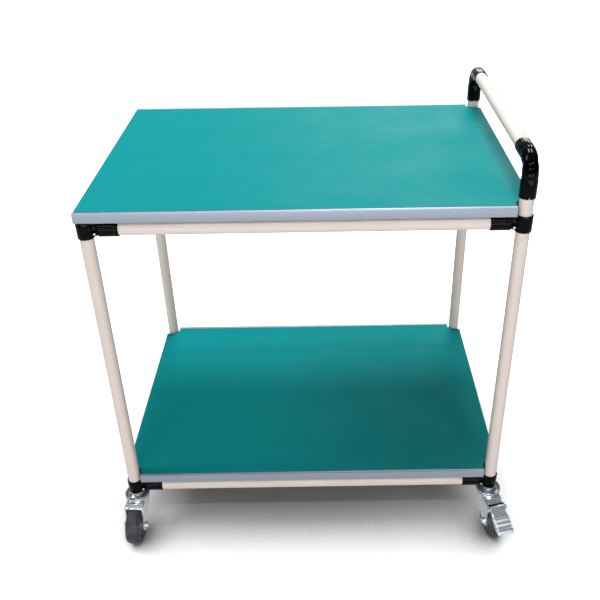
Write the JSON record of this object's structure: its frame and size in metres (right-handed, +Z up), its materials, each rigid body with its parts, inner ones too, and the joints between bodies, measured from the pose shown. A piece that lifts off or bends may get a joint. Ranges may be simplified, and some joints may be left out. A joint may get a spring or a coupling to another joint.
{
  "type": "two-shelf pipe cart",
  "caption": "Two-level pipe cart with green-matted decks, clamp-jointed white pipe frame, raised push handle at one end and swivel casters, braked under the handle.",
  "frame": {"origin": "centre of the cart's footprint, on the floor under the wheels", "axes": "+X toward the push handle, +Y from the front long side to the back long side, +Z up"},
  "size_m": [0.9208, 0.819, 0.9562],
  "materials": {
    "coated_pipe": "ivory plastic-coated steel pipe, satin gloss",
    "black_joint": "black electro-coated pressed steel, glossy",
    "board": "dark laminated board",
    "green_mat": "matt green rubber sheet",
    "edge_strip": "satin anodised extrusion",
    "caster_zinc": "bright zinc-plated pressed steel",
    "pedal_steel": "bright zinc-plated stamping",
    "wheel_rubber": "dark grey rubber tread on a grey core"
  },
  "bodies": {
    "frame": {"caster_head_back_left": "caster_zinc", "caster_head_back_right": "caster_zinc", "caster_head_front_left": "caster_zinc", "caster_head_front_right": "caster_zinc", "elbow_back_inner": "black_joint", "elbow_back_outer": "black_joint", "elbow_front_inner": "black_joint", "elbow_front_outer": "black_joint", "handle_bar": "coated_pipe", "lower_board": "board", "lower_edge_strip_back": "edge_strip", "lower_edge_strip_front": "edge_strip", "lower_joint_back_left_inner": "black_joint", "lower_joint_back_left_outer": "black_joint", "lower_joint_back_right_inner": "black_joint", "lower_joint_back_right_outer": "black_joint", "lower_joint_front_left_inner": "black_joint", "lower_joint_front_left_outer": "black_joint", "lower_joint_front_right_inner": "black_joint", "lower_joint_front_right_outer": "black_joint", "lower_mat": "green_mat", "lower_rail_back": "coated_pipe", "lower_rail_front": "coated_pipe", "lower_rail_left": "coated_pipe", "lower_rail_right": "coated_pipe", "post_back_left": "coated_pipe", "post_back_right": "coated_pipe", "post_front_left": "coated_pipe", "post_front_right": "coated_pipe", "upper_board": "board", "upper_edge_strip_back": "edge_strip", "upper_edge_strip_front": "edge_strip", "upper_joint_back_left_inner": "black_joint", "upper_joint_back_left_outer": "black_joint", "upper_joint_back_right_inner": "black_joint", "upper_joint_back_right_outer": "black_joint", "upper_joint_front_left_inner": "black_joint", "upper_joint_front_left_outer": "black_joint", "upper_joint_front_right_inner": "black_joint", "upper_joint_front_right_outer": "black_joint", "upper_mat": "green_mat", "upper_rail_back": "coated_pipe", "upper_rail_front": "coated_pipe", "upper_rail_left": "coated_pipe", "upper_rail_right": "coated_pipe"},
    "swivel_front_left": {"caster_fork_front_left": "caster_zinc", "caster_axle_front_left": "caster_zinc"},
    "wheel_front_left": {"caster_wheel_front_left": "wheel_rubber"},
    "swivel_front_right": {"caster_fork_front_right": "caster_zinc", "caster_axle_front_right": "caster_zinc"},
    "wheel_front_right": {"caster_wheel_front_right": "wheel_rubber"},
    "pedal_front_right": {"brake_pedal_front_right": "pedal_steel"},
    "swivel_back_left": {"caster_fork_back_left": "caster_zinc", "caster_axle_back_left": "caster_zinc"},
    "wheel_back_left": {"caster_wheel_back_left": "wheel_rubber"},
    "swivel_back_right": {"caster_fork_back_right": "caster_zinc", "caster_axle_back_right": "caster_zinc"},
    "wheel_back_right": {"caster_wheel_back_right": "wheel_rubber"},
    "pedal_back_right": {"brake_pedal_back_right": "pedal_steel"}
  },
  "joints": [
    {"name": "front_left_swivel", "type": "hinge", "parent": "frame", "child": "swivel_front_left", "pos_m": [-0.42587, -0.297, 0.1], "axis": [0, 0, 1], "continuous": true},
    {"name": "front_left_wheel_spin", "type": "hinge", "parent": "swivel_front_left", "child": "wheel_front_left", "pos_m": [-0.42936, -0.33685, 0.045], "axis": [0.9962, -0.0872, 0], "continuous": true},
    {"name": "front_right_swivel", "type": "hinge", "parent": "frame", "child": "swivel_front_right", "pos_m": [0.41413, -0.297, 0.1], "axis": [0, 0, 1], "continuous": true},
    {"name": "front_right_wheel_spin", "type": "hinge", "parent": "swivel_front_right", "child": "wheel_front_right", "pos_m": [0.42381, -0.33581, 0.045], "axis": [0.9703, 0.2419, 0], "continuous": true},
    {"name": "front_right_brake_press", "type": "hinge", "parent": "swivel_front_right", "child": "pedal_front_right", "pos_m": [0.42695, -0.34843, 0.0935], "axis": [0.9703, 0.2419, 0], "range_deg": [0, 18]},
    {"name": "back_left_swivel", "type": "hinge", "parent": "frame", "child": "swivel_back_left", "pos_m": [-0.42587, 0.297, 0.1], "axis": [0, 0, 1], "continuous": true},
    {"name": "back_left_wheel_spin", "type": "hinge", "parent": "swivel_back_left", "child": "wheel_back_left", "pos_m": [-0.42936, 0.33685, 0.045], "axis": [-0.9962, -0.0872, 0], "continuous": true},
    {"name": "back_right_swivel", "type": "hinge", "parent": "frame", "child": "swivel_back_right", "pos_m": [0.41413, 0.297, 0.1], "axis": [0, 0, 1], "continuous": true},
    {"name": "back_right_wheel_spin", "type": "hinge", "parent": "swivel_back_right", "child": "wheel_back_right", "pos_m": [0.42381, 0.33581, 0.045], "axis": [-0.9703, 0.2419, 0], "continuous": true},
    {"name": "back_right_brake_press", "type": "hinge", "parent": "swivel_back_right", "child": "pedal_back_right", "pos_m": [0.42695, 0.34843, 0.0935], "axis": [-0.9703, 0.2419, 0], "range_deg": [0, 18]}
  ]
}
